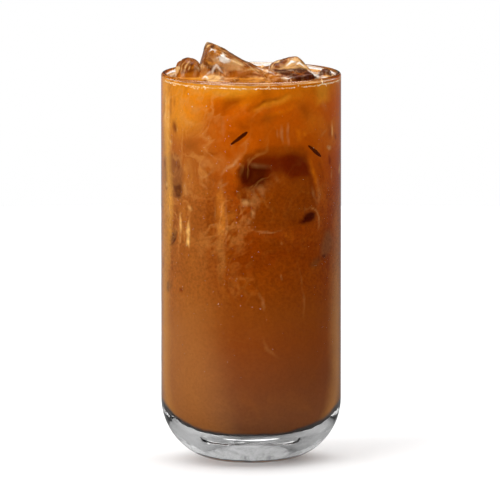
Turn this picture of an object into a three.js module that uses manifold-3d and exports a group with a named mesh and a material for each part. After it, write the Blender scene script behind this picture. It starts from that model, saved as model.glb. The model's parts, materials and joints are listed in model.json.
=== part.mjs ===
// Iced coffee in a tall straight tumbler with a heavy rounded base, full to just under the rim, with ice at the top.
// Millimetres, +Z up. The origin is the centre of the small flat foot that the tumbler stands on.
import * as THREE from 'three';
import { mergeVertices } from 'three/addons/utils/BufferGeometryUtils.js';
import Module from 'manifold-3d';

const wasm = await Module();
wasm.setup();

// Driving dimensions
const GLASS_RADIUS = 36;
const GLASS_HEIGHT = 156;
const FOOT_RADIUS = 11;
const WALL = 2.2;
const FLOOR_THICKNESS = 13;
const BOWL_RADIUS = 23.6;
const DRINK_BELOW_RIM = 2.2;
const GAP = 0.3;

// Sizes that follow from them
const INNER_RADIUS = GLASS_RADIUS - WALL;
const LIP_RADIUS = WALL / 2;
const BASE_CURVE_RADIUS = GLASS_RADIUS - FOOT_RADIUS;
const DRINK_LEVEL = GLASS_HEIGHT - DRINK_BELOW_RIM;

// Fineness of the round shapes
const ROUND_STEPS = 72;
const BASE_STEPS = 10;
const BOWL_STEPS = 8;
const LIP_STEPS = 6;
const ICE_STEPS = 6;

// A block of ice is placed by its centre: x, y, and how far that centre is above the rim.
// size is its length, depth and height. tilt turns it about x, y and z, in degrees.
// taper narrows its top, wave is the depth of its dents, and phase sets where they fall.
const ICE = {
  ice_peak: {
    at: [-8.8, 2.8, -0.8], size: [25, 16.5, 14], tilt: [3, 27.5, 3],
    round: 2.6, taper: -0.1, wave: 0.45, phase: 0.4,
  },
  ice_left: {
    at: [-26.15, 0.4, -0.9], size: [9, 12.5, 13.5], tilt: [3, 15, 6],
    round: 4.1, taper: 0.16, wave: 0.35, phase: 2.1,
  },
  ice_left_chip: {
    at: [-26.4, 12.6, 0], size: [6.5, 6, 6.5], tilt: [10, 15, 30],
    round: 2, taper: 0, wave: 0.25, phase: 1.2,
  },
  ice_front_left: {
    at: [-13.8, -17, -7.7], size: [18.5, 15, 15.5], tilt: [3, -3, -22],
    round: 2.8, taper: 0.03, wave: 0.5, phase: 3.3,
  },
  ice_front_chip: {
    at: [1.2, -26, -5.4], size: [8.5, 7.5, 8], tilt: [-8, 6, 4],
    round: 2.2, taper: 0.1, wave: 0.3, phase: 4.4,
  },
  ice_front_right: {
    at: [15.4, -13.6, -6.2], size: [18.5, 16, 16], tilt: [5, -3, 20],
    round: 2.4, taper: 0.03, wave: 0.4, phase: 5.2,
  },
  ice_right: {
    at: [14.8, 8.6, -1.5], size: [16.4, 13.5, 12.5], tilt: [-4, -17, 6],
    round: 3.8, taper: 0.24, wave: 0.6, phase: 0.9,
  },
  ice_right_chip: {
    at: [29.5, 5, -2.6], size: [4.6, 7, 6.4], tilt: [0, 16, -14],
    round: 1.6, taper: 0.2, wave: 0.2, phase: 2.6,
  },
  ice_back_left: {
    at: [-10, 22.2, -4.6], size: [18, 12.5, 13], tilt: [-5, 6, 22],
    round: 2.8, taper: 0.05, wave: 0.45, phase: 1.7,
  },
  ice_back_right: {
    at: [11.6, 24.2, -6.4], size: [15, 11, 13], tilt: [-2, -4, -24],
    round: 2.8, taper: 0.05, wave: 0.45, phase: 3.9,
  },
};

const glassMaterial = new THREE.MeshStandardMaterial({
  color: 0xe9eeee,
  roughness: 0.04,
  metalness: 0,
  transparent: true,
  opacity: 0.35,
});
const coffeeMaterial = new THREE.MeshStandardMaterial({ color: 0xa5622a, roughness: 0.3, metalness: 0 });

function iceMaterial() {
  return new THREE.MeshStandardMaterial({
    color: 0xe6c094,
    roughness: 0.12,
    metalness: 0,
    transparent: true,
    opacity: 0.6,
  });
}

// Points on a circle of the profile, from one angle to another in degrees, with both ends
function arc(cx, cz, radius, from, to, steps) {
  return Array.from({ length: steps + 1 }, (_, i) => {
    const t = THREE.MathUtils.degToRad(from + ((to - from) * i) / steps);
    return new THREE.Vector2(cx + radius * Math.cos(t), cz + radius * Math.sin(t));
  });
}

// A profile of radius and height turned about the vertical axis
function turned(profile) {
  return new THREE.LatheGeometry(profile, ROUND_STEPS).rotateX(Math.PI / 2);
}

// The rounded bottom of the drink's space, from the axis out to its wall, shrunk by a gap
function bowlCurve(gap) {
  const radius = INNER_RADIUS - gap;
  const bottom = FLOOR_THICKNESS + gap;
  const curve = BOWL_RADIUS - gap;
  return [
    new THREE.Vector2(0, bottom),
    ...arc(radius - curve, bottom + curve, curve, -90, 0, BOWL_STEPS),
  ];
}

function glassGeometry() {
  const outside = arc(FOOT_RADIUS, BASE_CURVE_RADIUS, BASE_CURVE_RADIUS, -90, 0, BASE_STEPS);
  const lip = arc(GLASS_RADIUS - LIP_RADIUS, GLASS_HEIGHT - LIP_RADIUS, LIP_RADIUS, 0, 180, LIP_STEPS);
  return turned([new THREE.Vector2(0, 0), ...outside, ...lip, ...bowlCurve(0).reverse()]);
}

// Two slow waves across the block, between -1 and 1
function iceWave(p, phase) {
  const across = Math.sin(p.x * 0.31 + phase) * Math.cos(p.y * 0.37 + phase * 1.7);
  const along = Math.sin(p.z * 0.42 + p.x * 0.18 + phase * 2.3);
  return 0.6 * across + 0.4 * along;
}

// A half-melted block: rounded edges, dented faces and a narrower top, made larger all round by grow
function iceGeometry({ size, round, taper, wave, phase }, grow) {
  const half = new THREE.Vector3(...size).multiplyScalar(0.5);
  const core = half.clone().subScalar(round);
  const block = new THREE.BoxGeometry(2, 2, 2, ICE_STEPS, ICE_STEPS, ICE_STEPS);
  const position = block.getAttribute('position');
  const p = new THREE.Vector3();
  for (let i = 0; i < position.count; i += 1) {
    p.fromBufferAttribute(position, i);
    p.set(Math.sin((p.x * Math.PI) / 2), Math.sin((p.y * Math.PI) / 2), Math.sin((p.z * Math.PI) / 2));
    p.multiply(half);
    const inner = p.clone().clamp(core.clone().negate(), core);
    const outward = p.clone().sub(inner).normalize();
    p.copy(inner).addScaledVector(outward, round + wave * iceWave(inner, phase));
    const narrowing = 1 - (taper * p.z) / half.z;
    p.x *= narrowing;
    p.y *= narrowing;
    p.addScaledVector(outward, grow);
    position.setXYZ(i, p.x, p.y, p.z);
  }
  return block;
}

function placeIce(object, { at, tilt }) {
  const turns = tilt.map((degrees) => THREE.MathUtils.degToRad(degrees));
  object.position.set(at[0], at[1], GLASS_HEIGHT + at[2]);
  object.rotation.set(turns[0], turns[1], turns[2]);
  object.updateMatrix();
  return object;
}

function toSolid(geometry) {
  const bare = geometry.clone();
  bare.deleteAttribute('normal');
  bare.deleteAttribute('uv');
  const merged = mergeVertices(bare, 1e-4);
  const triangles = [];
  const index = merged.getIndex();
  for (let i = 0; i < index.count; i += 3) {
    const [a, b, c] = [index.getX(i), index.getX(i + 1), index.getX(i + 2)];
    if (a !== b && b !== c && c !== a) triangles.push(a, b, c);
  }
  return new wasm.Manifold(
    new wasm.Mesh({
      numProp: 3,
      vertProperties: new Float32Array(merged.getAttribute('position').array),
      triVerts: new Uint32Array(triangles),
    }),
  );
}

function toGeometry(solid) {
  const mesh = solid.getMesh();
  const geometry = new THREE.BufferGeometry();
  geometry.setAttribute('position', new THREE.BufferAttribute(new Float32Array(mesh.vertProperties), 3));
  geometry.setIndex(new THREE.BufferAttribute(new Uint32Array(mesh.triVerts), 1));
  geometry.computeVertexNormals();
  return geometry;
}

// The drink up to its level, with room for each block of ice that stands in it
function coffeeGeometry() {
  const surface = new THREE.Vector2(0, DRINK_LEVEL);
  const edge = new THREE.Vector2(INNER_RADIUS - GAP, DRINK_LEVEL);
  let drink = toSolid(turned([...bowlCurve(GAP), edge, surface]));
  for (const block of Object.values(ICE)) {
    const room = placeIce(new THREE.Object3D(), block);
    drink = drink.subtract(toSolid(iceGeometry(block, GAP).applyMatrix4(room.matrix)));
  }
  const pieces = drink.decompose();
  pieces.sort((a, b) => b.volume() - a.volume());
  return toGeometry(pieces[0]);
}

function named(name, geometry, material) {
  const mesh = new THREE.Mesh(geometry, material);
  mesh.name = name;
  return mesh;
}

const icedCoffee = new THREE.Group();
icedCoffee.add(named('glass', glassGeometry(), glassMaterial));
icedCoffee.add(named('coffee', coffeeGeometry(), coffeeMaterial));
for (const [name, block] of Object.entries(ICE)) {
  icedCoffee.add(placeIce(named(name, iceGeometry(block, 0), iceMaterial()), block));
}

export default icedCoffee;
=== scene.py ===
import json
import math
import random

import bmesh
import bpy
import numpy as np
from mathutils import Matrix, Vector, noise
from mathutils.bvhtree import BVHTree

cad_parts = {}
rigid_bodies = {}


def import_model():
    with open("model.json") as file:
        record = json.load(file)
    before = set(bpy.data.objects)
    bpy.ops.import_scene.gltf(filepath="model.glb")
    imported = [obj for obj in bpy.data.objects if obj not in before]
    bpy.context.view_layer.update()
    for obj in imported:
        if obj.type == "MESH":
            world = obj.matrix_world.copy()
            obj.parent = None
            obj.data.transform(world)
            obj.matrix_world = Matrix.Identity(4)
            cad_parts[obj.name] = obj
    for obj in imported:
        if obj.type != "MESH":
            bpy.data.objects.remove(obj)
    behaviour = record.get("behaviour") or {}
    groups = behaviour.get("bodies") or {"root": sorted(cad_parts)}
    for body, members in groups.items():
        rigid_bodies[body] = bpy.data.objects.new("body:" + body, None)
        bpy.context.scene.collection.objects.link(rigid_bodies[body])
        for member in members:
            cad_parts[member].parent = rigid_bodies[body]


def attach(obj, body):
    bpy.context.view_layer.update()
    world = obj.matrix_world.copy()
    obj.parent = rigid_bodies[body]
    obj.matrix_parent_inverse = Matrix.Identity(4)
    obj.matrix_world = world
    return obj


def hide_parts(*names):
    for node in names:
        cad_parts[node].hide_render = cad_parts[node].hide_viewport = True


# Iced coffee in a tall clear tumbler. Metres, +Z up, the front of the glass towards -Y.
# A place on the wall of the glass is an azimuth in degrees, 0 at the front and positive to the right,
# and a height in millimetres above the foot.
MM = 0.001
RADIUS = 36 * MM
HEIGHT = 156 * MM
FOOT_RADIUS = 11 * MM
WALL = 2.2 * MM
FLOOR = 13 * MM
BOWL_RADIUS = 23.6 * MM
LEVEL = HEIGHT - 2.2 * MM
INNER = RADIUS - WALL
LIP = WALL / 2
BASE_CURVE = RADIUS - FOOT_RADIUS
BOWL_TOP = FLOOR + BOWL_RADIUS
# How far the drink and the sunk ice reach into the wall, so that no air gap shows
INTO_WALL = 0.06 * MM
ICE_INTO_WALL = 0.08 * MM

# How strongly the glass, the ice and water bend light, and the drink as seen from inside the glass
GLASS_INDEX = 1.5
ICE_INDEX = 1.31
WATER_INDEX = 1.33
COFFEE_BEHIND_GLASS = 0.893

VIEW_ELEVATION = 7.43
VIEW_DISTANCE = 7.5
VIEW_LENS = 1348.6
VIEW_AIM = (-0.00044, 0, 0.0843)
LAMP_AIM = (0, 0, 0.09)
STAGE_RADIUS = 0.8

SURFACE_ICE = (
    "ice_peak", "ice_left", "ice_left_chip", "ice_front_left", "ice_front_chip",
    "ice_front_right", "ice_right", "ice_right_chip", "ice_back_left", "ice_back_right",
)

# Sunk ice: azimuth, height of its centre, width along the wall, height and depth in millimetres,
# turn in the plane of the wall in degrees, rounding, and how far its centre lies inside the wall
SUNK_ICE = {
    "sunk_front": (15, 112, 28, 30, 17, 4, 4.5, 7.5),
    "sunk_front_low": (20, 89.5, 14, 6, 5, -3, 2.2, 1.8),
    "sunk_left": (-62, 118, 11, 17, 12, -4, 3.5, 4.5),
    "sunk_left_low": (-61, 97, 3.2, 14, 4, 9, 1.4, 1.4),
    "sunk_right": (58, 91, 7, 15, 8, 14, 3, 2.6),
    "sunk_slash_left": (-8.8, 133.2, 10.0, 1.9, 3, -38, 5, 0.9),
    "sunk_slash_right": (46.9, 127.2, 1.8, 10.0, 3, -54, 5, 0.9),
}

# Colours of the drink against the wall, as what share of red, green and blue light they send back.
# Some of them are painted light and shade, as noted above them.
PAINT = {
    # dark, maroon, mauve and grey are painted shade: the dark of the drink seen through sunk ice. Grey also
    # carries a painted veil of reflection.
    "dark": (0.050, 0.0040, 0.0003),
    "maroon": (0.125, 0.0105, 0.0003),
    "brown": (0.205, 0.036, 0.0008),
    "grey": (0.110, 0.045, 0.012),
    "mauve": (0.190, 0.065, 0.020),
    # milk also paints the lower part of a painted reflection column, and with latte a painted veil at the
    # left
    "milk": (0.335, 0.108, 0.017),
    "latte": (0.275, 0.118, 0.050),
    # pale also paints the strip at the right edge, a painted veil of reflection
    "pale": (0.480, 0.210, 0.055),
    "cream": (0.500, 0.230, 0.070),
    "gold": (0.700, 0.170, 0.002),
    "honey": (0.760, 0.290, 0.016),
    # A painted reflection: the lighter column that a softbox shows in the glass
    "band": (0.560, 0.175, 0.018),
    # left_edge is painted light, a veil of reflection of the bright surroundings at the glass's edge. glint
    # is a painted highlight.
    "left_edge": (0.860, 0.400, 0.045),
    "glint": (0.800, 0.420, 0.110),
    # ice_dark is painted shade: the dark drink seen at the ice's edges and faces
    "ice_dark": (0.055, 0.008, 0.0003),
    "ice_brown": (0.210, 0.050, 0.0030),
    "ice_amber": (0.470, 0.140, 0.0050),
    "ice_gold": (0.640, 0.260, 0.025),
    "ice_cream": (0.740, 0.420, 0.150),
    # A painted highlight on the ice
    "ice_white": (1.000, 0.960, 0.860),
}

# Painted shade that only sunk ice has, the dark of the drink seen through the ice, and colours whose
# streaks are even along their length
ICE_SHADOWS = ("dark", "maroon", "mauve", "grey")
EVEN_KINDS = ("ice_white", "pale", "left_edge")

# Places seen from the front are columns and rows of the view's 500 by 500 grid, counted from its upper left
# corner. A mark is its colour, half its width, its softness, its strength and its points.
# Where the width is 0, the points are the outline of a patch. Otherwise they are the middle of a streak.
GRID_STEP = 0.4004 * MM
AXIS_COLUMN = 251.1
FOOT_ROW = 459

# Azimuths between which the wall's marks fade towards the sides, and the front's give way to the back's
FADE_FROM, FADE_TO = 76, 88
FRONT_TO, BACK_FROM = 82, 102

# Streaks and patches of the drink and of the ice in it, against the wall. Not all are the drink's own
# colour.
# The glints are painted highlights. The left_edge streaks and the pale strip at column 339.5 are a painted
# veil of reflection of the bright surroundings at the glass's edges. The lighter column near column 220 is
# a painted reflection of a softbox. The dark, maroon, mauve and grey windows are painted shade, the dark
# drink seen through sunk ice. The broad milk and latte patches at the left are partly milk and partly a
# painted veil of reflection.
STREAKS = """
latte 0 30 .6 136,450 136,300 191,318 214,365 224,457
left_edge 5 6 .95 161.7,560 161.7,265 161.7,-106
pale 6.5 7.5 .8 339.5,537 339.5,364 339.5,186
milk 0 25 .6 136,438 136,116 209,121 216,220 214,443
honey 0 16 .62 151,124 151,67 206,72 206,92 196,126 176,133
honey 0 6.5 .7 196,96 196,71 261,74 256,93 231,98
honey 0 4 .5 316,105 316,85 328,83 328,100
brown 0 3 .7 243,156 254,149 269,147 285,146 302,147 307,152 310,170 313,186 316,204 317,214 312,226
    300,228 288,230 272,232 257,231 249,228 251,215 256,204 246,204 239,200 236,190 237,172 241,163
maroon 0 5.5 .9 240,167 250,157 262,155 276,155 293,156 293,173 280,174 268,180 262,187 252,191 243,188
    239,176
dark 0 3.8 .95 239,170 247,166 259,165 269,169 267,179 259,185 250,187 242,183
maroon 0 4 .95 283,158 293,153 304,156 309,165 311,176 300,177 292,179 285,175
maroon 3 3 .6 308,172 312,184 314.5,196 315.5,206
maroon 3.5 3.5 .6 238.5,184 238.5,193 241.5,200
maroon 4 3 .5 241,196 248,198
dark 0 1.8 1 303,219 306,213.5 311,211.5 315,214 315,220 310,223.5 303,224 298,224
maroon 2.5 2 .65 288.5,223.5 296,222.5 303,222.5
brown 5 4 .6 306,206 314,206
brown 4.5 4 .5 289,214 297,219
cream .35 .75 .3 243.5,167.9 250,166.2 257.3,165.5 265,166.8 272,167.6
cream 2.5 2.5 .35 253.6,190 260,188 266,186 273,184
cream 1.5 1.5 .45 252,193 258,190.5
pale 2.2 1.2 1 238,207 243,204 248,201 252,201.5 257.5,197.5
pale 1 1.2 .8 257,197 254.5,204 253,209 250.5,218.5 249.5,230
cream 1.5 1.6 .6 240.5,206 245,204.5 249,202.5
cream .8 1 .6 256.6,202 254,209 250.5,217 249,223 250,228.5
cream .6 1 .4 264.5,188 261,195 260,199
cream .6 .8 .4 239.8,206.6 242.5,215.9 241.5,222 238.9,227
cream .65 .9 .5 249,228 253,230.5 262,232.3 271,232.8 280,231.2 284,229.8
cream .65 .9 .5 301,214 305,209.5 310,207.4 316,210 319.5,217 319.5,226 317,232
cream 1.1 1.4 .35 311,186 315,197 317.5,206
gold 1.5 1.5 .5 310,158 313,170 316,184 318,196
brown .8 1 .6 311,155 318.3,161 322.3,173 323,185 321,196
cream 1.5 1.5 .3 317,178 319,192 319,206
cream .7 1 .4 273,178 279,183
maroon 1.3 1.4 .6 278,238.6 283.2,238.6 287.4,241.6 288.9,247.2
brown 0 3 .5 258,240 268,238 280,239 285,244 283,251 270,252 259,249
cream .7 1 .3 280.5,240.5 282,245 279,248
brown 1 1.2 .5 259,240.3 261,243
mauve 0 2.6 .7 325,232 329,229.5 332,236 332,245 329,253 324,258 320.5,256 321,246 323,238
dark 1.5 1.4 .8 321.3,257.8 325.5,254.8
grey 3 3 .5 321,258 315,264 309,268
brown 2.5 3 .45 323,228 321,240
honey 2.75 3.5 .55 250,113 258,109 270,103 281,100.5 292,97.5 304,95
brown 1.5 2 .8 247,111.5 256,106.5 266,101.5 280,98 292,94
brown 1 1.2 .6 248,112 252.5,111
gold 0 4 .5 238,106 243,97 251,94 254,99 248,106 243,110
brown 0 4 .45 222,102 233,97 240,99 238,107 229,112 222,115
gold 1.75 2.5 .45 262,118 276,114 290,110 303,104
brown 3.5 4 .5 244,121 256,121 268,119 284,117
brown 4.5 6 .5 300,100 305,112 303,122
brown 3.5 5 .45 231,120 243,127 258,131
gold 0 5 .4 183,90 200,88 215,92 208,110 196,120 184,118
cream 3 4 .35 186,101 194,110 205,108
cream 2.5 4 .3 180,113 188,122 199,125
brown .8 1.4 .4 221.3,112 221.8,127 221.3,141
cream 1.25 2 .25 223.5,116 224,130 223.5,142
cream 1 1.3 .55 281.5,124 281.5,136 282.5,146
cream 1.1 1.3 .55 287,122 287.3,136 288.5,147
cream .8 1.2 .3 277.5,128 278,140
gold 2 2.5 .55 297,128 299,136 300,144
gold 1.5 2 .5 303,131 306,138
cream 2 3 .3 321,101 325,108 327,113
cream 1 1.3 .35 318,138 323,132 328,127
maroon 1.7 1.6 .75 328.5,122 329.3,133 329,141
maroon 1 1 .6 335,131 335.5,142
cream 1.6 1.3 .85 326,145 329,148 330,151
maroon 1.2 1.4 .7 328.5,153 329.5,160 328.8,168
cream .6 .8 .6 331,168 331,183
glint .7 .8 .9 338.2,160 338.8,168 339.3,175
glint .65 .8 .7 331.5,120 332,131 331.6,142
brown 1.5 2 .5 329,186 328,196 326,204
glint 1.1 1 .8 165.5,92 166,104 165.6,118 166.5,130
glint .9 1 .8 168.5,96 169.2,112 168.6,126 169.6,140
glint 1 1 .7 166.8,132 169.5,139 172,147 169,152
glint .7 .8 .7 176.5,127 178.6,133 177.3,139
brown 1 1.2 .6 170.8,90 171.2,108 170.6,124
maroon 2 1.8 .75 173.6,119 175,128 176.5,137
brown 1 1.2 .5 174.5,92 175,108
mauve 0 3 .6 164,156 176,154 181,157 183,170 183,188 181,198 176,200 168,192 163,178
left_edge 2 3.5 .6 167,71 167.5,135 168.5,166 170,215 169,270
maroon 1.75 1.8 .55 178,161.4 179,166 179,171
dark 0 1.8 .75 174,186 180,184.5 182.5,189 181.5,195 178.5,199.5 175.5,194
dark .7 .8 .8 174,188.5 181.8,189.5
dark .7 .8 .6 175,186.6 179,187.4
maroon .7 .8 .7 165,157 165.6,171
maroon .8 .8 .8 165.6,184 167,190
glint 1 .9 1 166.6,180.5 167.3,188.5
cream 1.1 1.1 .7 168,204 169,212 170,221
glint .7 .8 .6 172,206 172.4,216
glint 1 .9 .85 180,212.5 180.8,228 180.2,243
glint 1.6 1.1 1 188.6,219.6 188.2,230 188,243 186.6,253
glint 1.2 1.6 .5 187.5,206 190,209.5 192.3,213
maroon 2 2 .5 177,206 176.3,216 176,224
dark 2.2 1.5 1 176.2,225 174.5,235 172.5,243 171.6,248.5
brown .8 1 .6 172.6,250 172.8,262 172.3,275
grey 2.1 1.3 .9 170,278 169.3,285 168,291.5
maroon 1.1 1 .8 180.3,286.3 181.4,289 182.6,292
brown .7 .8 .7 163.6,261 164.4,269
brown 3.2 2 .6 209.5,176 209.5,215 210,235 209,275
brown 4 3 .6 231,190 230.5,219 231,242 230.5,281
band 4 1.8 .75 220,179 221,209 220.5,226 220.5,246
milk 4 1.8 .7 220.5,226 220.5,246 221,266 221,286
cream 1 1.2 .35 226.3,193 226.6,215 226.2,236 226.4,252
cream .65 .8 .5 215.4,200 215.6,212 214.8,221
brown 6 5 .35 236,212 236,235 237,262
cream 1.3 1.5 .6 241.7,151.5 238.5,158 234.6,163.5 226.4,169.6 222.5,175 220.3,178.5
cream .7 1 .55 229.4,180.8 224,185.5 222.3,186.5 217.2,191
cream 1.5 2 .4 223,179 219,187 226,192
brown 1.6 2 .6 196,158 206,154.5 214,156 223,154
cream 3 3 .3 199,168 205,164 210,161
cream .7 1 .45 196,177 203,178 209,175 215,170
cream .7 1 .4 200,183 206,187 209,192
cream .65 1 .35 212,178 215,184 213,190
brown 1 1.5 .4 203,172 210,174 217,168
cream 2.5 4 .3 188,157 189,175 188,200
glint 1.5 2.5 .35 184,158 185.5,178 186,200
cream 1 1.5 .3 258,291 262,300 264,312
cream .8 1.2 .35 279.5,272 281,281
cream .65 1.1 .22 297,262 302,280 304,300 303,320
brown 1.1 2 .25 250,330 258,345 266,352 276,350
cream 1.1 2 .2 262,338 268,350 280,360
brown 1.1 2 .2 205,322 214,332 228,336
"""

# The same for the ice and the surface at the top. The white marks on the ice are painted highlights,
# and its dark marks are painted shade, the dark drink seen at its edges and faces.
TOP_MARKS = """
ice_amber 0 2 .8 172,81 178,75 190,72 200,70 208,69 214,74 208,79 200,81 185,83
ice_gold 0 2 .6 190,80 200,75 206,72 211,75 204,81
ice_amber 0 2 .6 222,83 232,72 250,67 262,69 277,76 288,83 262,85
ice_brown 0 1.5 .75 198,64 200,54 205,47 210,43 215,45 212,50 208,54 206,60 204,65
ice_dark 1.1 .8 .9 198,63 200.5,55 204,48.5 208,44 212,42 217,45
ice_dark 1.1 .8 .95 213,43 222,48 231,53 240,58 248,63 256,68
ice_brown 2 1 .85 217,47.5 228,54 238,60 250,67
ice_dark .6 .6 .7 226,56.5 236,61.5 245,67
ice_dark 0 .8 .9 210.5,46 214,45.5 214.5,49 211,48.5
ice_cream .8 .6 .9 206,49 208.5,46.5 211,45
ice_amber 0 1.5 .7 208,52 215,47 223,51 219,58 211,58
ice_white .6 .6 .9 208,53 212,49.5 215.5,51 214,54
ice_white 0 .9 1 219.5,58 223.5,53.5 225.5,58 229.5,60 229.5,63 224,64 219.5,61.5
ice_white .7 .6 .8 216,59 221,57
ice_brown 0 1.5 .5 204,65 208,58 214,60 212,66 206,68
ice_cream 0 2 .7 225,65 234,59 243,65 238,71 228,71 223,68
ice_gold 1.2 .8 .8 205,61 212,64.5 219,62
ice_white 1.2 .7 1 211,77 213,70 216,65.5 220,70 224,74
ice_white .6 .6 .8 206,76 212,71
ice_cream 0 1.2 .8 205,80 208,76 213,74 219,76 221,80 216,83 209,83
ice_white .7 .6 .9 202,80 206,76.5 208,81
ice_brown .6 .6 .6 209,81 214,78.5 217,75
ice_amber 1 .8 .7 221,80 232,77 242,74
ice_brown 0 1.2 .85 178,72 181,63 187,58 196,57 200,63 197,70 188,74 181,75
ice_dark 1 .8 .9 181,64 184,59.5 188,57 193,56 199,59
ice_amber 1 .8 .8 192,71 194,66 197,62
ice_cream .7 .5 .95 184.5,73 186,66 189,61.5
ice_cream .6 .5 .8 188.5,72 190.5,65.5
ice_cream .6 .5 .7 180,74 182.5,66 186,61
ice_dark .7 .6 .7 190,62 193.5,67
ice_brown 0 .8 .9 175,66 177.5,61 183,59.5 183,64 179,67
ice_cream 0 .8 .85 172,72 176,66.5 180,68 178,74 173,74
ice_brown 0 1.5 .75 273,69 281,62 288,57 288,62 282,66 278,70
ice_cream 0 1.5 .85 283,68 288,61 294,58 300,59.5 306,65 309,70 302,71 290,70
ice_dark 1 .8 .95 272,67.5 279,63 285,58.5 290,56 296,55.3 302,58 307,62 311,69
ice_white .9 .6 1 286,67 291,61.5 297,62.5
ice_white .8 .6 .95 295,66 300,63 305,68
ice_brown .6 .6 .8 289,68 296,65 301,69
ice_dark .6 .6 .7 299,58.5 306,66
ice_dark 0 1 .95 272,70 287,69.5 300,68 307,69.5 312,74 319,78 309,81 296,80.5 286,77 277,73
ice_brown .9 .7 .9 286,72 297,73.5 307,77
ice_brown .7 .6 .8 296,78 303,74 308,71
ice_cream .6 .5 .9 273,69 288,68.5 303,66.8
ice_white .5 .5 .9 283,78 288,80 292,78.5
ice_dark 0 .9 .9 316,76 320,71 326,68.5 331,70 337,76 331,77 326,73.5 321,76
ice_white .8 .6 .95 308,70 313,74 320,78
ice_white .7 .6 .85 320,78 330,78
ice_cream 1 .7 .8 330,79 334,75 337,71
ice_cream .8 .6 .8 238,73 252,69.5 263,72
ice_cream .8 .6 .75 244,76 260,78 278,82
ice_white .6 .5 .8 256,68 266,70.5 276,76
ice_brown .8 .6 .8 236,79 250,74.5 262,76 274,81
ice_brown .8 .6 .85 260,71.5 270,74 282,78
ice_brown .7 .6 .7 242,82 260,80
ice_brown 0 1 .85 246,66 254,62 268,61.5 276,64 268,67 254,68
ice_cream .8 .6 .8 160,78 164,74 171,70
ice_brown 1 .8 .6 166,80 174,77 182,76
"""


def vector_angle(azimuth):
    """The horizontal direction of an azimuth."""
    t = math.radians(azimuth)
    return Vector((math.sin(t), -math.cos(t), 0))


def placed(name, data):
    """A new object in the scene."""
    made = bpy.data.objects.new(name, data)
    bpy.context.scene.collection.objects.link(made)
    return made


def aimed(thing, place, direction):
    """Puts a camera or a lamp at a place and turns it in a direction."""
    thing.location = place
    thing.rotation_euler = Vector(direction).to_track_quat("-Z", "Y").to_euler()


def mesh_object(name, points, faces):
    mesh = bpy.data.meshes.new(name)
    mesh.from_pydata(points, [], faces)
    mesh.shade_smooth()
    mesh.update()
    return placed(name, mesh)


def arc(cx, cz, radius, start, end, steps):
    """Points of a profile on a circle, from one angle to another in degrees, with both ends."""
    angles = [math.radians(start + (end - start) * i / steps) for i in range(steps + 1)]
    return [(cx + radius * math.cos(a), cz + radius * math.sin(a)) for a in angles]


def line(start, end, step):
    """Points of a profile on a straight line, without its start."""
    count = max(1, round(math.dist(start, end) / step))
    return [
        (start[0] + (end[0] - start[0]) * i / count, start[1] + (end[1] - start[1]) * i / count)
        for i in range(1, count + 1)
    ]


def ring_faces(rings, columns):
    """Faces of a closed shape whose points are its lowest one, its rings of points and its highest one."""
    faces = []
    last = 1 + (rings - 1) * columns
    for j in range(columns):
        k = (j + 1) % columns
        faces.append((0, 1 + k, 1 + j))
        for a in range(1, last, columns):
            b = a + columns
            faces.append((a + j, a + k, b + k, b + j))
        faces.append((last + j, last + k, last + columns))
    return faces


def lathe(name, profile, azimuths, shift=None):
    """A closed turned shape. Its profile goes from the axis below, round the outside, to the axis above."""
    columns = len(azimuths)
    around = [vector_angle(a) for a in azimuths]
    points = [(0, 0, profile[0][1])]
    for radius, z in profile[1:-1]:
        points += [(radius * d.x, radius * d.y, z) for d in around]
    points.append((0, 0, profile[-1][1]))
    if shift:
        points = [tuple(shift(Vector(p))) for p in points]
    return mesh_object(name, points, ring_faces(len(profile) - 2, columns))


def even_azimuths(count):
    return [360 * i / count for i in range(count)]


def fine_front_azimuths(half_front, front_step, back_step):
    """Azimuths that lie closer together over the front, in degrees."""
    front = np.arange(-half_front, half_front, front_step)
    back = np.arange(half_front, 360 - half_front, back_step)
    return [float(a) for a in (*front, *back)]


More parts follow.
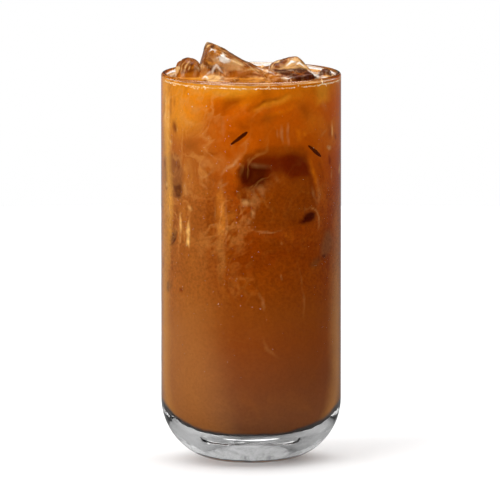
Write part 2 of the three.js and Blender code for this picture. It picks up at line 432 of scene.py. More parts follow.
class Graph:
    """A material's or world's node tree, built by short calls."""

    def __init__(self, owner):
        owner.use_nodes = True
        self.tree = owner.node_tree
        self.tree.nodes.clear()

    def node(self, kind, values=(), **settings):
        """A new node, with values or links for its inputs and with its own settings."""
        made = self.tree.nodes.new(kind)
        for key, value in settings.items():
            setattr(made, key, value)
        for key, value in dict(values).items():
            self.feed(made.inputs[key], value)
        return made

    def link(self, source, target):
        self.tree.links.new(source, target)

    def feed(self, socket, value):
        """Links an output to the socket, or sets the socket's own value."""
        if isinstance(value, bpy.types.NodeSocket):
            self.link(value, socket)
        elif isinstance(value, tuple) and len(value) == 3 and socket.type == "RGBA":
            socket.default_value = (*value, 1)
        else:
            socket.default_value = value

    def coordinates(self):
        return self.node("ShaderNodeTexCoord").outputs["Object"]

    def math(self, operation, a, b=0.0):
        return self.node("ShaderNodeMath", {0: a, 1: b}, operation=operation).outputs[0]

    def noise(self, vector, scale, detail=2.0, roughness=0.5, distortion=0.0):
        values = {"Vector": vector, "Scale": scale, "Detail": detail}
        values |= {"Roughness": roughness, "Distortion": distortion}
        return self.node("ShaderNodeTexNoise", values).outputs["Fac"]

    def mapped(self, vector, **values):
        return self.node("ShaderNodeMapping", {"Vector": vector, **values}).outputs["Vector"]

    def ramp(self, factor, *stops):
        """A colour ramp from (position, colour) stops."""
        made = self.node("ShaderNodeValToRGB", {"Fac": factor})
        elements = made.color_ramp.elements
        while len(elements) < len(stops):
            elements.new(0.5)
        for element, (position, colour) in zip(elements, stops):
            element.position = position
            element.color = (*colour, 1) if isinstance(colour, tuple) else (colour,) * 3 + (1,)
        return made.outputs["Color"]

    def span(self, value, low, high, to_low=0.0, to_high=1.0):
        values = {"Value": value, "From Min": low, "From Max": high, "To Min": to_low, "To Max": to_high}
        return self.node("ShaderNodeMapRange", values).outputs["Result"]

    def mix(self, factor, a, b, blend="MIX"):
        values = {"Factor": factor, "A": a, "B": b}
        return self.node("ShaderNodeMix", values, data_type="RGBA", blend_type=blend).outputs["Result"]

    def split(self, vector):
        return self.node("ShaderNodeSeparateXYZ", {0: vector}).outputs

    def bump(self, height, strength, distance):
        values = {"Strength": strength, "Distance": distance, "Height": height}
        return self.node("ShaderNodeBump", values).outputs["Normal"]

    def paint(self):
        """The colour and the cover of the marks that the mesh carries."""
        outputs = self.node("ShaderNodeAttribute", attribute_name="paint").outputs
        return outputs["Color"], outputs["Alpha"]

    def painted(self, colour):
        marks, cover = self.paint()
        return self.mix(cover, colour, marks)

    def warped(self, vector, scale, amount):
        """The vector, moved about by coloured noise."""
        drift = self.node("ShaderNodeTexNoise", {"Vector": vector, "Scale": scale}).outputs["Color"]
        warp = self.node("ShaderNodeVectorMath", {0: drift, "Scale": amount}, operation="SCALE").outputs[0]
        return self.node("ShaderNodeVectorMath", {0: vector, 1: warp}, operation="ADD").outputs[0]

    def mix_shader(self, factor, a, b):
        return self.node("ShaderNodeMixShader", {0: factor, 1: a, 2: b}).outputs[0]

    def principled(self, **values):
        made = self.node("ShaderNodeBsdfPrincipled")
        for key, value in values.items():
            self.feed(made.inputs[key.replace("_", " ")], value)
        return made.outputs["BSDF"]

    def lamps_through(self, shader):
        """Lets light from the lamps and from bright surroundings straight through a clear surface."""
        path = self.node("ShaderNodeLightPath")
        factor = self.math("MAXIMUM", path.outputs["Is Shadow Ray"], path.outputs["Is Diffuse Ray"])
        clear = self.node("ShaderNodeBsdfTransparent").outputs[0]
        return self.mix_shader(factor, shader, clear)

    def finish(self, shader, volume=None):
        output = self.node("ShaderNodeOutputMaterial", {"Surface": shader})
        if volume:
            self.link(volume, output.inputs["Volume"])


def new_material(name):
    """A material, its node tree and the coordinates of the object."""
    material = bpy.data.materials.new(name)
    g = Graph(material)
    return material, g, g.coordinates()


def glass_material():
    """Clear glass with faint ripples from moulding. Its lip is tinted brown, painted to stand for the drink
    seen through it, and grey absorption darkens the thick base as painted shade.
    """
    material, g, where = new_material("tumbler_glass")
    ripple = g.noise(g.mapped(where, Scale=(1, 1, 0.35)), 90, 3)
    smear = g.noise(where, 55, 4, 0.6)
    roughness = g.span(smear, 0.35, 0.75, 0.004, 0.03)
    tint = g.mix(g.span(smear, 0.3, 0.7), (0.985, 0.99, 0.99), (1, 1, 1))
    # Painted: the lip is tinted brown, standing for the drink seen through it
    rim = g.span(g.split(where)[2], HEIGHT - 1.1 * MM, HEIGHT - 0.7 * MM)
    tint = g.mix(rim, tint, g.mix(g.span(smear, 0.4, 0.6), (0.42, 0.24, 0.13), (0.62, 0.44, 0.30)))
    shader = g.principled(
        Base_Color=tint, Roughness=roughness, IOR=GLASS_INDEX, Transmission_Weight=1.0,
        Normal=g.bump(ripple, 0.12, 0.0004),
    )
    # Painted shade: grey absorption darkens the thick base, standing for the shaded floor seen through it
    body = g.node("ShaderNodeVolumeAbsorption", {"Color": (0.30, 0.30, 0.30), "Density": 3.5})
    g.finish(g.lamps_through(shader), body.outputs[0])
    return material


def coffee_colour(g, where):
    """Amber below the surface, browner lower down, with marbling of milk that fades with depth."""
    z = g.split(where)[2]
    base = g.ramp(
        g.span(z, 0.0, HEIGHT),
        (0.10, (0.176, 0.060, 0.0220)),
        (0.24, (0.188, 0.047, 0.0110)),
        (0.32, (0.213, 0.045, 0.0058)),
        (0.40, (0.222, 0.047, 0.0040)),
        (0.48, (0.214, 0.036, 0.0012)),
        (0.56, (0.208, 0.030, 0.0004)),
        (0.67, (0.262, 0.040, 0.0010)),
        (0.82, (0.410, 0.067, 0.0004)),
        (0.93, (0.530, 0.090, 0.0004)),
        (0.98, (0.625, 0.146, 0.0020)),
    )
    swirl = g.noise(g.warped(where, 28, 0.045), 55, 4, 0.55, 0.6)
    upper = g.span(z, 0.075, 0.145)
    light = g.math("MULTIPLY", g.span(swirl, 0.52, 0.72), g.span(upper, 0, 1, 0.05, 0.35))
    dark = g.math("MULTIPLY", g.span(swirl, 0.48, 0.28), g.span(upper, 0, 1, 0.08, 0.45))
    colour = g.mix(light, base, (0.66, 0.19, 0.010))
    colour = g.mix(dark, colour, (0.20, 0.036, 0.001))
    return colour


def wall_texture(g, where, colour):
    """Soft slanting threads of milk, most of them at the left and the top, and fine grain."""
    x, y, z = g.split(where)
    upper = g.span(z, 0.062, 0.105, 0.1, 1.0)
    left = g.span(x, 0.010, -0.008, 0.12, 1.0)
    slanted = g.mapped(g.warped(where, 42, 0.030), Rotation=(0, -0.75, 0))
    folds = g.noise(g.mapped(slanted, Scale=(1, 1, 0.42)), 120, 3, 0.5)
    patch = g.span(g.noise(where, 60, 2), 0.40, 0.58)
    where_milky = g.math("MULTIPLY", g.math("MULTIPLY", upper, left), patch)
    thread = g.span(g.math("ABSOLUTE", g.math("SUBTRACT", folds, 0.5)), 0.0, 0.06, 0.42, 0.0)
    colour = g.mix(g.math("MULTIPLY", thread, where_milky), colour, (0.62, 0.25, 0.05))
    fold = g.math("MULTIPLY", g.span(folds, 0.56, 0.70, 0.0, 0.34), upper)
    colour = g.mix(g.math("MULTIPLY", fold, left), colour, (0.20, 0.040, 0.001))
    glow = g.math("MULTIPLY", g.span(folds, 0.44, 0.30, 0.0, 0.30), upper)
    colour = g.mix(g.math("MULTIPLY", glow, left), colour, (0.55, 0.19, 0.022))
    middle = g.math("MULTIPLY", g.span(z, 0.060, 0.074), g.span(z, 0.122, 0.108))
    mottle = g.noise(where, 900, 3, 0.65)
    drops = g.mix(1.0, colour, g.ramp(mottle, (0.36, 0.78), (0.50, 1.0), (0.64, 1.16)), "MULTIPLY")
    colour = g.mix(g.span(middle, 0, 1, 0.3, 0.9), colour, drops)
    grain = g.noise(where, 1400, 2, 0.6)
    return g.mix(g.span(grain, 0.3, 0.7, 0.0, 0.16), colour, (0.75, 0.75, 0.75), "MULTIPLY"), grain


def coffee_material(name, mirrors=False):
    """The drink against the glass: opaque and milky, with fine grain. Over the base it also mirrors."""
    material, g, where = new_material(name)
    colour, grain = wall_texture(g, where, g.painted(coffee_colour(g, where)))
    roughness = g.span(grain, 0.3, 0.7, 0.45, 0.6)
    shader = g.principled(
        Base_Color=colour, Roughness=roughness, Specular_IOR_Level=0.0,
        Normal=g.bump(grain, 0.25, 0.0002),
    )
    g.finish(mirroring(g, where, shader) if mirrors else shader)
    return material


def mirroring(g, where, shader):
    """The shader, with a painted dark line at a middling angle, standing for the dark seen at the drink's
    lower edge, and a mottled mirror at a low one, grey in the middle as painted shade. Light goes slower
    in the glass than in the drink, so the thick base mirrors below it."""
    fresnel = g.node("ShaderNodeFresnel", {"IOR": COFFEE_BEHIND_GLASS}).outputs[0]
    mottle = g.noise(where, 140, 5, 0.7, 0.9)
    # The mirror's grey mottle is painted shade, standing for the shaded floor seen through the base. It
    # turns white towards the sides.
    grey = g.ramp(mottle, (0.36, 0.34), (0.46, 0.56), (0.60, 0.66))
    aside = g.math("ABSOLUTE", g.math("SUBTRACT", g.split(where)[0], 2 * MM))
    bright = g.mix(g.span(aside, 10 * MM, 19 * MM), grey, (1.0, 1.0, 1.0))
    mirror = g.node("ShaderNodeBsdfGlossy", {"Color": bright, "Roughness": 0.03}).outputs[0]
    # Painted shade: a near-black surface for the dark line
    dark = g.principled(Base_Color=(0.012, 0.006, 0.003), Roughness=0.5)
    lined = g.mix_shader(g.span(fresnel, 0.09, 0.20), shader, dark)
    again = g.math("GREATER_THAN", g.node("ShaderNodeLightPath").outputs["Glossy Depth"], 0.5)
    return g.mix_shader(g.math("MAXIMUM", g.span(fresnel, 0.94, 1.0), again), lined, mirror)


def surface_material():
    """The open surface of the drink between the ice: wet, with cream swirls."""
    material, g, where = new_material("coffee_surface")
    swirl = g.noise(where, 95, 4, 0.6, 1.4)
    streak = g.noise(where, 260, 3, 0.6, 0.8)
    colour = g.ramp(
        swirl,
        (0.32, (0.24, 0.075, 0.009)),
        (0.46, (0.44, 0.165, 0.022)),
        (0.60, (0.62, 0.30, 0.070)),
        (0.72, (0.74, 0.46, 0.17)),
    )
    colour = g.mix(g.span(streak, 0.55, 0.75, 0, 0.4), colour, (0.78, 0.52, 0.24))
    g.finish(g.principled(
        Base_Color=g.painted(colour), Roughness=g.span(streak, 0.3, 0.7, 0.06, 0.16),
        Normal=g.bump(swirl, 0.35, 0.0007),
    ))
    return material


def ice_material(name, deep, middle, pale):
    """Wet clear ice over the drink, tinted by it, with cloudy veins, crinkled faces and painted marks,
    among them painted highlights and painted shade.
    """
    material, g, where = new_material(name)
    cloud = g.noise(where, 170, 4, 0.6, 0.7)
    ribs = g.noise(g.mapped(where, Scale=(1, 1, 0.5)), 330, 3, 0.55, 0.5)
    tint = g.ramp(cloud, (0.34, deep), (0.50, middle), (0.66, pale))
    clear = g.principled(
        Base_Color=tint, Roughness=g.span(cloud, 0.4, 0.75, 0.01, 0.10), IOR=ICE_INDEX,
        Transmission_Weight=1.0, Normal=g.bump(ribs, 0.5, 0.0006),
    )
    veins = g.ramp(ribs, (0.38, (0.13, 0.030, 0.002)), (0.50, middle), (0.62, (0.80, 0.54, 0.28)))
    milk = g.principled(
        Base_Color=veins, Roughness=0.14, Specular_IOR_Level=0.12, Normal=g.bump(ribs, 0.4, 0.0005),
    )
    cloudy = g.mix_shader(g.span(cloud, 0.42, 0.60, 0.35, 0.85), clear, milk)
    # The marks, with painted highlights and painted shade among them
    marks, cover = g.paint()
    stain = g.principled(
        Base_Color=marks, Roughness=0.16, Specular_IOR_Level=0.1, Normal=g.bump(ribs, 0.35, 0.0005),
    )
    share = g.math("MULTIPLY", cover, g.span(ribs, 0.3, 0.6, 1.0, 0.86))
    g.finish(g.lamps_through(g.mix_shader(share, cloudy, stain)))
    return material


def sunk_ice_material(name, depth):
    """Ice against the wall under the surface. One looks through it into the dark of the drink, painted as
    shade: the colour is darkened towards near black by the given share.
    """
    material, g, where = new_material(name)
    cloud = g.noise(where, 150, 4, 0.6, 0.7)
    colour, grain = wall_texture(g, where, g.painted(coffee_colour(g, where)))
    # Painted shade: towards near black by the given share, a little less where the cloud is dense
    colour = g.mix(g.span(cloud, 0.35, 0.7, depth, depth * 0.85), colour, (0.028, 0.003, 0.0002))
    g.finish(g.principled(
        Base_Color=colour, Roughness=g.span(cloud, 0.3, 0.7, 0.4, 0.6), Specular_IOR_Level=0.0,
        Normal=g.bump(grain, 0.2, 0.0002),
    ))
    return material


def set_material(piece, *materials):
    piece.data.materials.clear()
    for material in materials:
        piece.data.materials.append(material)


# The tumbler
def tumbler_profile():
    outside = arc(FOOT_RADIUS, BASE_CURVE, BASE_CURVE, -90, 0, 40)
    wall = line(outside[-1], (RADIUS, HEIGHT - LIP), 4 * MM)[:-1]
    lip = arc(RADIUS - LIP, HEIGHT - LIP, LIP, 0, 180, 14)
    inner_wall = line(lip[-1], (INNER, BOWL_TOP), 4 * MM)[:-1]
    bowl = arc(INNER - BOWL_RADIUS, BOWL_TOP, BOWL_RADIUS, 0, -90, 30)
    return [(0, 0), *outside, *wall, *lip, *inner_wall, *bowl, (0, FLOOR)]


def ripple(p):
    """The faint unevenness of moulded glass, only in its thick base."""
    low = 1 - min(1, max(0, (p.z - 14 * MM) / (14 * MM)))
    if low == 0 or p.z < 0.01 * MM:
        return p
    amount = MM * low * (0.16 * noise.noise(p * 110) + 0.07 * noise.noise(p * 300))
    flat = Vector((p.x, p.y, 0))
    outward = flat.normalized() if flat.length > 1e-6 else Vector((0, 0, 0))
    return p + outward * amount * 0.7 + Vector((0, 0, max(0, amount)))


def make_tumbler():
    tumbler = lathe("tumbler", tumbler_profile(), even_azimuths(240), ripple)
    set_material(tumbler, glass_material())
    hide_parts("glass")
    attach(tumbler, "root")


# Ice
def refined(name, node, levels):
    """A smooth copy of a CAD block of ice."""
    piece = placed(name, node.data.copy())
    work = bmesh.new()
    work.from_mesh(piece.data)
    bmesh.ops.remove_doubles(work, verts=work.verts, dist=1e-6)
    bmesh.ops.join_triangles(
        work, faces=work.faces, angle_face_threshold=0.6, angle_shape_threshold=1.2, cmp_seam=False,
        cmp_sharp=False, cmp_uvs=False, cmp_vcols=False, cmp_materials=False,
    )
    work.to_mesh(piece.data)
    work.free()
    smooth = piece.modifiers.new("smooth", "SUBSURF")
    smooth.levels = smooth.render_levels = levels
    return applied(piece)


def applied(piece):
    """The piece with its modifiers made final."""
    bpy.context.view_layer.update()
    shown = piece.evaluated_get(bpy.context.evaluated_depsgraph_get())
    mesh = bpy.data.meshes.new_from_object(shown)
    piece.modifiers.clear()
    piece.data = mesh
    mesh.name = piece.name
    return piece


def pushed_out(mesh, distance):
    """Moves each vertex along its normal, by a distance that depends on its place."""
    normals = [v.normal.copy() for v in mesh.vertices]
    for v, n in zip(mesh.vertices, normals):
        v.co += n * distance(v.co)
    mesh.update()


def crinkled(piece, seed):
    """Half-melted faces: shallow scoops and fine ribs."""
    offset = Vector((seed * 3.1, seed * 1.7, seed * 2.3))

    def relief(p):
        scoop = noise.noise(p * 170 + offset)
        rib = abs(noise.noise(p * 420 + offset))
        return 0.55 * MM * scoop - 0.5 * MM * rib

    pushed_out(piece.data, relief)
    piece.data.shade_smooth()


def widened(piece, amount):
    """Lets the piece reach further to the right, so that it meets the block beside it."""
    left = min(v.co.x for v in piece.data.vertices)
    width = max(v.co.x for v in piece.data.vertices) - left
    for v in piece.data.vertices:
        v.co.x += amount * ((v.co.x - left) / width) ** 1.5
    piece.data.update()


def ice_cutter(node):
    """The room that a block of ice takes in the drink, a little smaller than the block."""
    cutter = refined(node + "_cutter", bpy.data.objects[node], 2)
    pushed_out(cutter.data, lambda p: -0.3 * MM)
    return cutter


def make_surface_ice():
    pale = ice_material("wet_ice_pale", (0.34, 0.11, 0.02), (0.66, 0.33, 0.10), (0.95, 0.76, 0.50))
    amber = ice_material("wet_ice_amber", (0.28, 0.08, 0.010), (0.55, 0.22, 0.035), (0.85, 0.52, 0.20))
    brown = ice_material("wet_ice_brown", (0.12, 0.025, 0.002), (0.30, 0.085, 0.012), (0.66, 0.34, 0.12))
    wet = {"ice_peak": pale, "ice_right": pale, "ice_front_right": brown, "ice_right_chip": brown}
    made = []
    for i, node in enumerate(SURFACE_ICE):
        piece = refined(node + "_block", bpy.data.objects[node], 3)
        if node == "ice_left":
            widened(piece, 1.8 * MM)
        crinkled(piece, i)
        set_material(piece, wet.get(node, amber))
        paint_ice(piece)
        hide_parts(node)
        made.append(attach(piece, "root"))
    return made


def rounded_block(size, rounding, seed, steps=22):
    """Points and faces of a half-melted block about its own centre."""
    work = bmesh.new()
    bmesh.ops.create_cube(work, size=2)
    bmesh.ops.subdivide_edges(work, edges=work.edges, cuts=steps, use_grid_fill=True)
    half = Vector(size) / 2
    core = Vector(max(h - rounding, h * 0.05) for h in half)
    offset = Vector((seed * 2.7, seed * 1.1, seed * 4.3))
    for v in work.verts:
        p = Vector(math.sin(c * math.pi / 2) * h for c, h in zip(v.co, half))
        inner = Vector(min(max(c, -k), k) for c, k in zip(p, core))
        outward = (p - inner).normalized()
        reach = Vector(h - k for h, k in zip(half, core))
        v.co = inner + Vector(o * r for o, r in zip(outward, reach))
        v.co += outward * 0.5 * MM * noise.noise(v.co * 170 + offset)
    work.verts.index_update()
    points = [v.co.copy() for v in work.verts]
    faces = [[v.index for v in f.verts] for f in work.faces]
    work.free()
    return points, faces


def held_by_wall(p, radius):
    """The point, kept inside an upright cylinder."""
    flat = math.hypot(p.x, p.y)
    if flat <= radius:
        return p
    return Vector((p.x * radius / flat, p.y * radius / flat, p.z))


def wall_block(name, spec, seed, radius):
    """A block of sunk ice pressed against the wall, clipped by an upright cylinder."""
    azimuth, height, width, tall, deep, turn, rounding, inset = spec
    points, faces = rounded_block((width * MM, deep * MM, tall * MM), rounding * MM, seed)
    outward = vector_angle(azimuth)
    place = (
        Matrix.Translation(outward * (INNER - inset * MM) + Vector((0, 0, height * MM)))
        @ Matrix.Rotation(math.radians(azimuth), 4, "Z")
        @ Matrix.Rotation(math.radians(turn), 4, "Y")
    )
    piece = mesh_object(name, [tuple(place @ p) for p in points], faces)
    for v in piece.data.vertices:
        v.co = held_by_wall(v.co, radius)
    piece.data.update()
    return piece


def make_sunk_ice():
    # The slashes are painted almost black as shade, the blocks only a little
    block, edge = sunk_ice_material("sunk_ice", 0.06), sunk_ice_material("sunk_ice_edge", 0.97)
    for i, (name, spec) in enumerate(SUNK_ICE.items()):
        piece = wall_block(name, spec, i, INNER + ICE_INTO_WALL)
        set_material(piece, edge if "slash" in name else block)
        paint_wall(piece)
        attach(piece, "root")


# The drink
def seen_from_front(azimuths):
    """How far right of the axis a place on the inner wall seems to be, from the front."""
    x = np.linspace(-0.997 * RADIUS, 0.997 * RADIUS, 721)
    in_wall = np.arcsin(x / (INNER * GLASS_INDEX)) - np.arcsin(x / (RADIUS * GLASS_INDEX))
    return np.interp(azimuths, np.arcsin(x / RADIUS) + in_wall, x)


def grid_row(up, towards):
    """The row of the view from the front at which a place is seen."""
    e = math.radians(VIEW_ELEVATION)
    return FOOT_ROW - (up * math.cos(e) - towards * math.sin(e)) / GRID_STEP


def streak_distance(px, pz, points, closed):
    """How far each place is from a line, and the share of the line's length at its nearest point."""
    ends = list(zip(points, points[1:]))
    if closed:
        ends.append((points[-1], points[0]))
    total = sum(math.dist(a, b) for a, b in ends)
    away = np.full(len(px), 1e9)
    along = np.zeros(len(px))
    done = 0.0
    for a, b in ends:
        length = max(math.dist(a, b), 1e-9)
        dx, dz = (b[0] - a[0]) / length, (b[1] - a[1]) / length
        t = np.clip((px - a[0]) * dx + (pz - a[1]) * dz, 0, length)
        here = np.hypot(px - a[0] - t * dx, pz - a[1] - t * dz)
        along = np.where(here < away, (done + t) / total, along)
        away = np.minimum(away, here)
        done += length
    return away, along


def inside_outline(px, pz, points):
    inside = np.zeros(len(px), bool)
    for (ax, az), (bx, bz) in zip(points, (*points[1:], points[0])):
        if az != bz:
            inside ^= ((az > pz) != (bz > pz)) & (px < (bx - ax) * (pz - az) / (bz - az) + ax)
    return inside


def read_marks(text):
    """The marks in a table: the colour's name, half the width, softness and strength, and points."""
    marks = []
    for word in text.split():
        if word in PAINT:
            marks.append((word, [], []))
        elif "," in word:
            marks[-1][2].append(tuple(float(number) for number in word.split(",")))
        else:
            marks[-1][1].append(float(word))
    return marks


def eased(value):
    """A smooth step from 0 to 1."""
    value = np.clip(value, 0, 1)
    return value * value * (3 - 2 * value)


def streak_strength(px, pz, half, soft, strength, points):
    """How strongly one streak or patch colours each place. A streak thins out at both ends."""
    away, along = streak_distance(px, pz, points, half == 0)
    if half == 0:
        away = np.where(inside_outline(px, pz, points), -away, away)
    else:
        end = np.clip(np.minimum(along, 1 - along) / 0.35, 0, 1) ** 0.6
        half = half * (0.3 + 0.7 * end)
        strength = strength * end
    return strength * eased(0.5 - (away - half) / (2 * soft))


def wall_noise(co, scale, seed):
    shift = Vector((7.1 * seed, 3.3 * seed, 5.7 * seed))
    return np.array([noise.noise(Vector(p) * scale + shift) for p in co])


def marked(across, up, marks, uneven):
    """Colour and cover of each place under a table of marks."""
    colour = np.zeros((len(across), 3))
    cover = np.zeros(len(across))
    for kind, (half, soft, strength), points in marks:
        first, last = np.min(points, axis=0) - half - soft, np.max(points, axis=0) + half + soft
        near = (across > first[0]) & (across < last[0]) & (up > first[1]) & (up < last[1])
        at = np.nonzero(near)[0]
        if len(at):
            share = streak_strength(across[at], up[at], half, soft, strength, points)
            if kind == "glint":
                share = share * np.clip(2.6 * uneven[at] - 1.4, 0, 1)
            elif half and kind not in EVEN_KINDS:
                share = share * uneven[at]
            colour[at] = colour[at] * (1 - share[:, None]) + np.array(PAINT[kind]) * share[:, None]
            cover[at] += (1 - cover[at]) * share
    return with_cover(colour, cover)


def with_cover(colour, cover):
    """Colours that were gathered in proportion to their cover, made whole, and that cover beside them."""
    return np.c_[colour / np.maximum(cover, 1e-6)[:, None], cover]


def vertex_places(piece):
    co = np.empty(len(piece.data.vertices) * 3)
    piece.data.vertices.foreach_get("co", co)
    return co.reshape(-1, 3)


def keep_paint(piece, rgba):
    layer = piece.data.color_attributes.new("paint", "FLOAT_COLOR", "POINT")
    layer.data.foreach_set("color", rgba.astype(np.float32).ravel())


def wall_paint(co):
    """The colours of places on the wall. The back has the front's, turned half round, without the sunk
    ice's painted shade.
    """
    azimuth = np.degrees(np.arctan2(co[:, 0], -co[:, 1]))
    warp = 1.75 * wall_noise(co, 130, 1) + 0.8 * wall_noise(co, 420, 2)
    drift = 2.25 * wall_noise(co, 130, 3) + 1.0 * wall_noise(co, 420, 4)
    uneven = np.clip(0.82 + 0.9 * wall_noise(co, 300, 5), 0.25, 1)
    streaks = read_marks(STREAKS)
    marks_without_ice_shade = [mark for mark in streaks if mark[0] not in ICE_SHADOWS]
    sides = []
    for turned, marks in ((azimuth, streaks), ((azimuth + 360) % 360 - 180, marks_without_ice_shade)):
        across = seen_from_front(np.radians(turned))
        column = AXIS_COLUMN + across / GRID_STEP + warp * np.sqrt(1 - (across / RADIUS) ** 2)
        row = grid_row(co[:, 2], INNER * np.cos(np.radians(turned))) - drift
        rgba = marked(column, row, marks, uneven)
        rgba[:, 3] *= 1 - 0.75 * np.clip((np.abs(turned) - FADE_FROM) / (FADE_TO - FADE_FROM), 0, 1)
        sides.append(rgba)
    front = eased((BACK_FROM - np.abs(azimuth)) / (BACK_FROM - FRONT_TO))
    shares = np.c_[sides[0][:, 3] * front, sides[1][:, 3] * (1 - front)]
    colour = sides[0][:, :3] * shares[:, :1] + sides[1][:, :3] * shares[:, 1:]
    return with_cover(colour, shares.sum(axis=1))


def top_paint(co, back):
    """The colours of places on the ice and the surface. At the back they are the front's, turned round."""
    x, y = np.where(back, -co[:, 0], co[:, 0]), np.where(back, -co[:, 1], co[:, 1])
    column = AXIS_COLUMN + x / GRID_STEP + 0.9 * wall_noise(co, 400, 6)
    row = grid_row(co[:, 2], -y) + 0.9 * wall_noise(co, 400, 7)
    return marked(column, row, read_marks(TOP_MARKS), np.clip(0.92 + 0.7 * wall_noise(co, 600, 8), 0.5, 1))


def paint_wall(piece):
    """Colours the side of a piece that lies against the wall, and the open surface of the drink."""
    co = vertex_places(piece)
    rgba = np.zeros((len(co), 4))
    low = co[:, 2] < BOWL_TOP
    wall = low | (np.hypot(co[:, 0], co[:, 1]) > INNER - 0.3 * MM)
    rgba[wall] = wall_paint(co[wall])
    surface = ~wall & (co[:, 2] > LEVEL - 0.5 * MM)
    if surface.any():
        rgba[surface] = top_paint(co[surface], np.zeros(surface.sum(), bool))
    keep_paint(piece, rgba)


def paint_ice(piece):
    co = vertex_places(piece)
    normals = np.array([v.normal[:] for v in piece.data.vertices])
    keep_paint(piece, top_paint(co, (normals[:, 1] > 0.25) & (co[:, 1] > 0)))


def coffee_profile():
    wall = INNER + INTO_WALL
    floor = FLOOR - INTO_WALL
    curve = BOWL_RADIUS + INTO_WALL
    bowl = arc(wall - curve, floor + curve, curve, -90, 0, 44)
    flat = line((0, floor), bowl[0], 1 * MM)[:-1]
    side = line(bowl[-1], (wall, LEVEL + 0.7 * MM), 0.62 * MM)
    top = line(side[-1], (0, LEVEL), 0.9 * MM)
    return [(0, floor), *flat, *bowl, *side, *[(r, LEVEL) for r, z in top[:-1]], (0, LEVEL)]


def surface_shift(ice):
    """Lifts the drink's surface to the wall and the ice, and stirs it a little."""
    trees = [
        BVHTree.FromPolygons([v.co for v in p.data.vertices], [f.vertices for f in p.data.polygons])
        for p in ice
    ]

    def shift(p):
        if abs(p.z - LEVEL) > 0.01 * MM:
            return p
        gap = INNER - math.hypot(p.x, p.y)
        rise = 0.7 * MM * math.exp(-max(gap, 0) / (1.1 * MM))
        near = min(tree.find_nearest(p)[3] for tree in trees)
        rise = max(rise, 0.8 * MM * math.exp(-near / (0.9 * MM)))
        return p + Vector((0, 0, rise + 0.12 * MM * noise.noise(p * 210)))

    return shift


def cut(piece, cutters):
    """Cuts the cutters out of the piece."""
    for cutter in cutters:
        modifier = piece.modifiers.new(cutter.name, "BOOLEAN")
        modifier.operation = "DIFFERENCE"
        modifier.solver = "MANIFOLD"
        modifier.object = cutter
    applied(piece)
    for cutter in cutters:
        bpy.data.objects.remove(cutter)
    drop_folds(piece.data)


def drop_folds(mesh):
    """Removes pairs of faces that a cut leaves folded flat on each other, between the same corners."""
    work = bmesh.new()
    work.from_mesh(mesh)
    matches = {}
    for face in work.faces:
        matches.setdefault(frozenset(v.index for v in face.verts), []).append(face)
    folded = [face for faces in matches.values() if len(faces) > 1 for face in faces]
    bmesh.ops.delete(work, geom=folded, context="FACES")
    work.to_mesh(mesh)
    work.free()


def make_coffee(ice):
    columns = fine_front_azimuths(84, 0.84, 2.4)
    coffee = lathe("coffee_drink", coffee_profile(), columns, surface_shift(ice))
    cut(coffee, [ice_cutter(node) for node in SURFACE_ICE])
    mesh = coffee.data
    set_material(
        coffee, coffee_material("coffee_against_glass"), surface_material(),
        coffee_material("coffee_over_base", True),
    )
    open_top = LEVEL - 0.35 * MM
    for face in mesh.polygons:
        if face.center.z > open_top and face.center.xy.length < INNER - 0.02 * MM:
            face.material_index = 1
        elif face.center.z < BOWL_TOP:
            face.material_index = 2
    mesh.set_sharp_from_angle(angle=math.radians(50))
    paint_wall(coffee)
    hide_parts("coffee")
    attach(coffee, "root")


# Froth and dew
def bead_points(centre, out, radius, flat, rings=4, sides=8):
    """Points and faces of a small drop that lies against a wall whose outward direction is given."""
    side = Vector((-out.y, out.x, 0))
    points = [centre - out * radius * flat]
    for i in range(1, rings):
        t = math.pi * i / rings
        for j in range(sides):
            a = 2 * math.pi * j / sides
            flatwise = side * math.cos(a) + Vector((0, 0, 1)) * math.sin(a)
            points.append(centre + flatwise * radius * math.sin(t) - out * radius * flat * math.cos(t))
    points.append(centre + out * radius * flat)
    return points, ring_faces(rings - 1, sides)


def bead_mesh(name, beads):
    """Many small drops as one piece: azimuth, height, radius, distance from the axis and flatness."""
    points, faces = [], []
    for azimuth, height, radius, from_axis, flat in beads:
        out = vector_angle(azimuth)
        more, sides = bead_points(out * from_axis + Vector((0, 0, height)), out, radius, flat)
        faces += [tuple(k + len(points) for k in face) for face in sides]
        points += [tuple(p) for p in more]
    return mesh_object(name, points, faces)


def froth_material(name, strength):
    """Small pale bubbles, some of them darker."""
    material, g, where = new_material(name)
    shade = g.noise(where, 700, 3, 0.6)
    pale = [(0.35, (0.62, 0.24, 0.03)), (0.50, (0.88, 0.56, 0.22)), (0.62, (1.0, 0.88, 0.66))]
    colour = g.ramp(shade, *[(at, tuple(c * strength for c in value)) for at, value in pale])
    g.finish(g.principled(
        Base_Color=colour, Roughness=g.span(shade, 0.3, 0.7, 0.08, 0.2), Normal=g.bump(shade, 0.3, 0.0002),
    ))
    return material


def dew_material():
    material, g, where = new_material("dew")
    shade = g.noise(where, 300, 3)
    clear = g.principled(
        Base_Color=g.ramp(shade, (0.3, (0.97, 0.98, 0.98)), (0.7, (1.0, 1.0, 1.0))), IOR=WATER_INDEX,
        Roughness=g.span(shade, 0.3, 0.7, 0.08, 0.2), Transmission_Weight=1.0,
    )
    g.finish(g.lamps_through(clear))
    return material


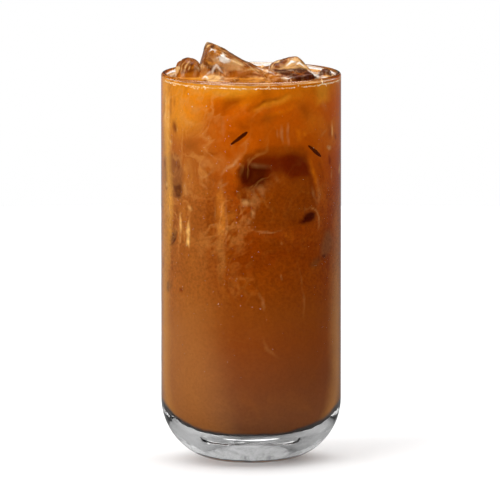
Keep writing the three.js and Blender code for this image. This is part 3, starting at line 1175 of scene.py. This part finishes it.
def make_froth():
    """The ring of small bubbles where the surface of the drink meets the wall."""
    random.seed(11)
    beads = []
    azimuth = 0.0
    while azimuth < 360:
        thick = noise.noise(Vector((azimuth * 0.045, 3.0, 1.0)))
        if thick > -0.25:
            radius = random.uniform(0.26, 0.42 + 0.3 * max(0, thick)) * MM
            height = LEVEL + random.uniform(-0.55, -0.15) * MM
            beads.append((azimuth, height, radius))
            if thick > 0.12 and random.random() < 0.5:
                beads.append((azimuth + 0.3, height - 1.7 * radius, radius * 0.8))
        azimuth += random.uniform(0.5, 1.3)
    for place, above, radius in (
        (-7.1, -0.7, 1.3), (-59, 0.9, 0.7), (-61, 0.1, 0.5), (54.5, 0.5, 0.5), (11.7, 0.3, 0.4),
        (172, 0.2, 0.9), (128, 0.5, 0.6), (-120, 0.4, 0.7), (84, 0.4, 0.5), (33, 0.3, 0.45),
        (-29, 0.3, 0.45),
    ):
        beads.append((place, LEVEL + above * MM, radius * MM))
    reach = INNER + 0.16 * MM
    froth = bead_mesh("froth_ring", [(a, z, r, reach - 0.6 * r, 0.6) for a, z, r in beads])
    set_material(froth, froth_material("froth", 1.0))
    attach(froth, "root")


def make_wall_bubbles():
    """Single small bubbles and specks under the surface, held against the wall."""
    random.seed(4)
    beads = [
        (-46, 150.2, 0.34), (-42.5, 145.3, 0.3), (-31, 145.9, 0.34), (-34.5, 127.8, 0.28),
        (-58, 139.5, 0.26),
    ]
    for _ in range(30):
        beads.append((random.uniform(-180, 180), random.uniform(70, 150), random.uniform(0.12, 0.22)))
    pale = bead_mesh("bubbles", [(a, z * MM, r * MM, INNER + 0.02 * MM, 0.5) for a, z, r in beads])
    set_material(pale, froth_material("bubbles_pale", 0.55))
    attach(pale, "root")


def make_dew():
    """Fine drops of water on the outside of the cold glass, denser in places."""
    random.seed(23)
    drops = []
    while len(drops) < 700:
        azimuth, z = random.uniform(-180, 180), random.uniform(34, 147)
        near = min(abs(abs(azimuth) - 62), abs(abs(azimuth) - 118))
        dense = math.exp(-((near / 16) ** 2)) * 0.8 + math.exp(-(((azimuth + 14) / 16) ** 2)) * 0.9
        dense *= 1 - min(1, abs(z - 100) / 62)
        if random.random() < 0.04 + dense:
            radius = random.uniform(0.10, 0.28) * MM
            drops.append((azimuth, z * MM, radius, RADIUS - 0.02 * MM, 0.22))
    dew = bead_mesh("dew_drops", drops)
    set_material(dew, dew_material())
    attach(dew, "root")


# The stage
def make_camera():
    data = bpy.data.cameras.new("camera")
    data.lens = VIEW_LENS
    data.sensor_width = 36
    data.clip_end = 40
    camera = placed("camera", data)
    e = math.radians(VIEW_ELEVATION)
    back = Vector((0, -math.cos(e), math.sin(e)))
    aimed(camera, Vector(VIEW_AIM) + back * VIEW_DISTANCE, -back)
    bpy.context.scene.camera = camera


def make_floor():
    points = [tuple(vector_angle(a) * STAGE_RADIUS) for a in even_azimuths(96)]
    floor = mesh_object("floor", points, [tuple(range(96))])
    floor.location.z = -0.02 * MM
    material, g, where = new_material("pale_floor")
    shade = g.noise(where, 3, 2)
    x, y, z = g.split(where)
    away = g.math("SQRT", g.math("ADD", g.math("MULTIPLY", x, x), g.math("MULTIPLY", y, y)))
    far = g.mix(g.span(shade, 0.3, 0.7), (0.93, 0.93, 0.93), (0.95, 0.95, 0.95))
    # Painted shade: the floor is darker near the glass than away from it, deepening the shadow round its
    # foot
    colour = g.mix(g.span(away, 0.06, 0.40), (0.85, 0.85, 0.85), far)
    roughness = g.span(shade, 0.3, 0.7, 0.8, 0.9)
    g.finish(g.principled(Base_Color=colour, Roughness=roughness, Specular_IOR_Level=0.0))
    set_material(floor, material)
    floor.visible_glossy = False


def make_lamp(name, place, size, power):
    data = bpy.data.lights.new(name, "AREA")
    data.shape = "RECTANGLE"
    data.size = size
    data.size_y = size
    data.energy = power
    aimed(placed(name, data), place, Vector(LAMP_AIM) - Vector(place))


def make_lights():
    make_lamp("key_softbox", (-1.5, -1.3, 1.1), 1.6, 39)
    make_lamp("fill_softbox", (1.6, -1.2, 0.9), 1.0, 5)
    make_lamp("top_softbox", (0, 0.2, 1.9), 2.2, 60)


def make_world():
    """White behind the object, and dim towards the camera so that the front of the glass mirrors little."""
    world = bpy.data.worlds.new("studio")
    bpy.context.scene.world = world
    g = Graph(world)
    direction = g.node("ShaderNodeTexCoord").outputs["Generated"]
    x, y, z = g.split(direction)
    glow = g.ramp(
        g.span(y, -1, 1),
        (0.0, 0.005), (0.5, 0.03), (0.73, 0.10), (0.93, 0.22), (0.99, 0.32),
    )
    glow = g.mix(g.span(x, -0.3, 0.3), glow, g.mix(1.0, glow, (0.62, 0.62, 0.62), "MULTIPLY"))
    glow = g.mix(g.span(z, 0.0, 0.06), glow, g.mix(1.0, glow, (0.22, 0.22, 0.22), "MULTIPLY"))
    path = g.node("ShaderNodeLightPath")
    seen = g.math("MAXIMUM", path.outputs["Is Camera Ray"], path.outputs["Is Transmission Ray"])
    colour = g.mix(seen, glow, (1.0, 1.0, 1.0))
    background = g.node("ShaderNodeBackground", {"Color": colour}).outputs[0]
    g.node("ShaderNodeOutputWorld", {"Surface": background})


def main():
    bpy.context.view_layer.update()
    bpy.context.scene.view_settings.view_transform = "Standard"
    make_camera()
    make_world()
    make_lights()
    make_floor()
    make_tumbler()
    ice = make_surface_ice()
    make_sunk_ice()
    make_coffee(ice)
    make_froth()
    make_wall_bubbles()
    make_dew()


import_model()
main()
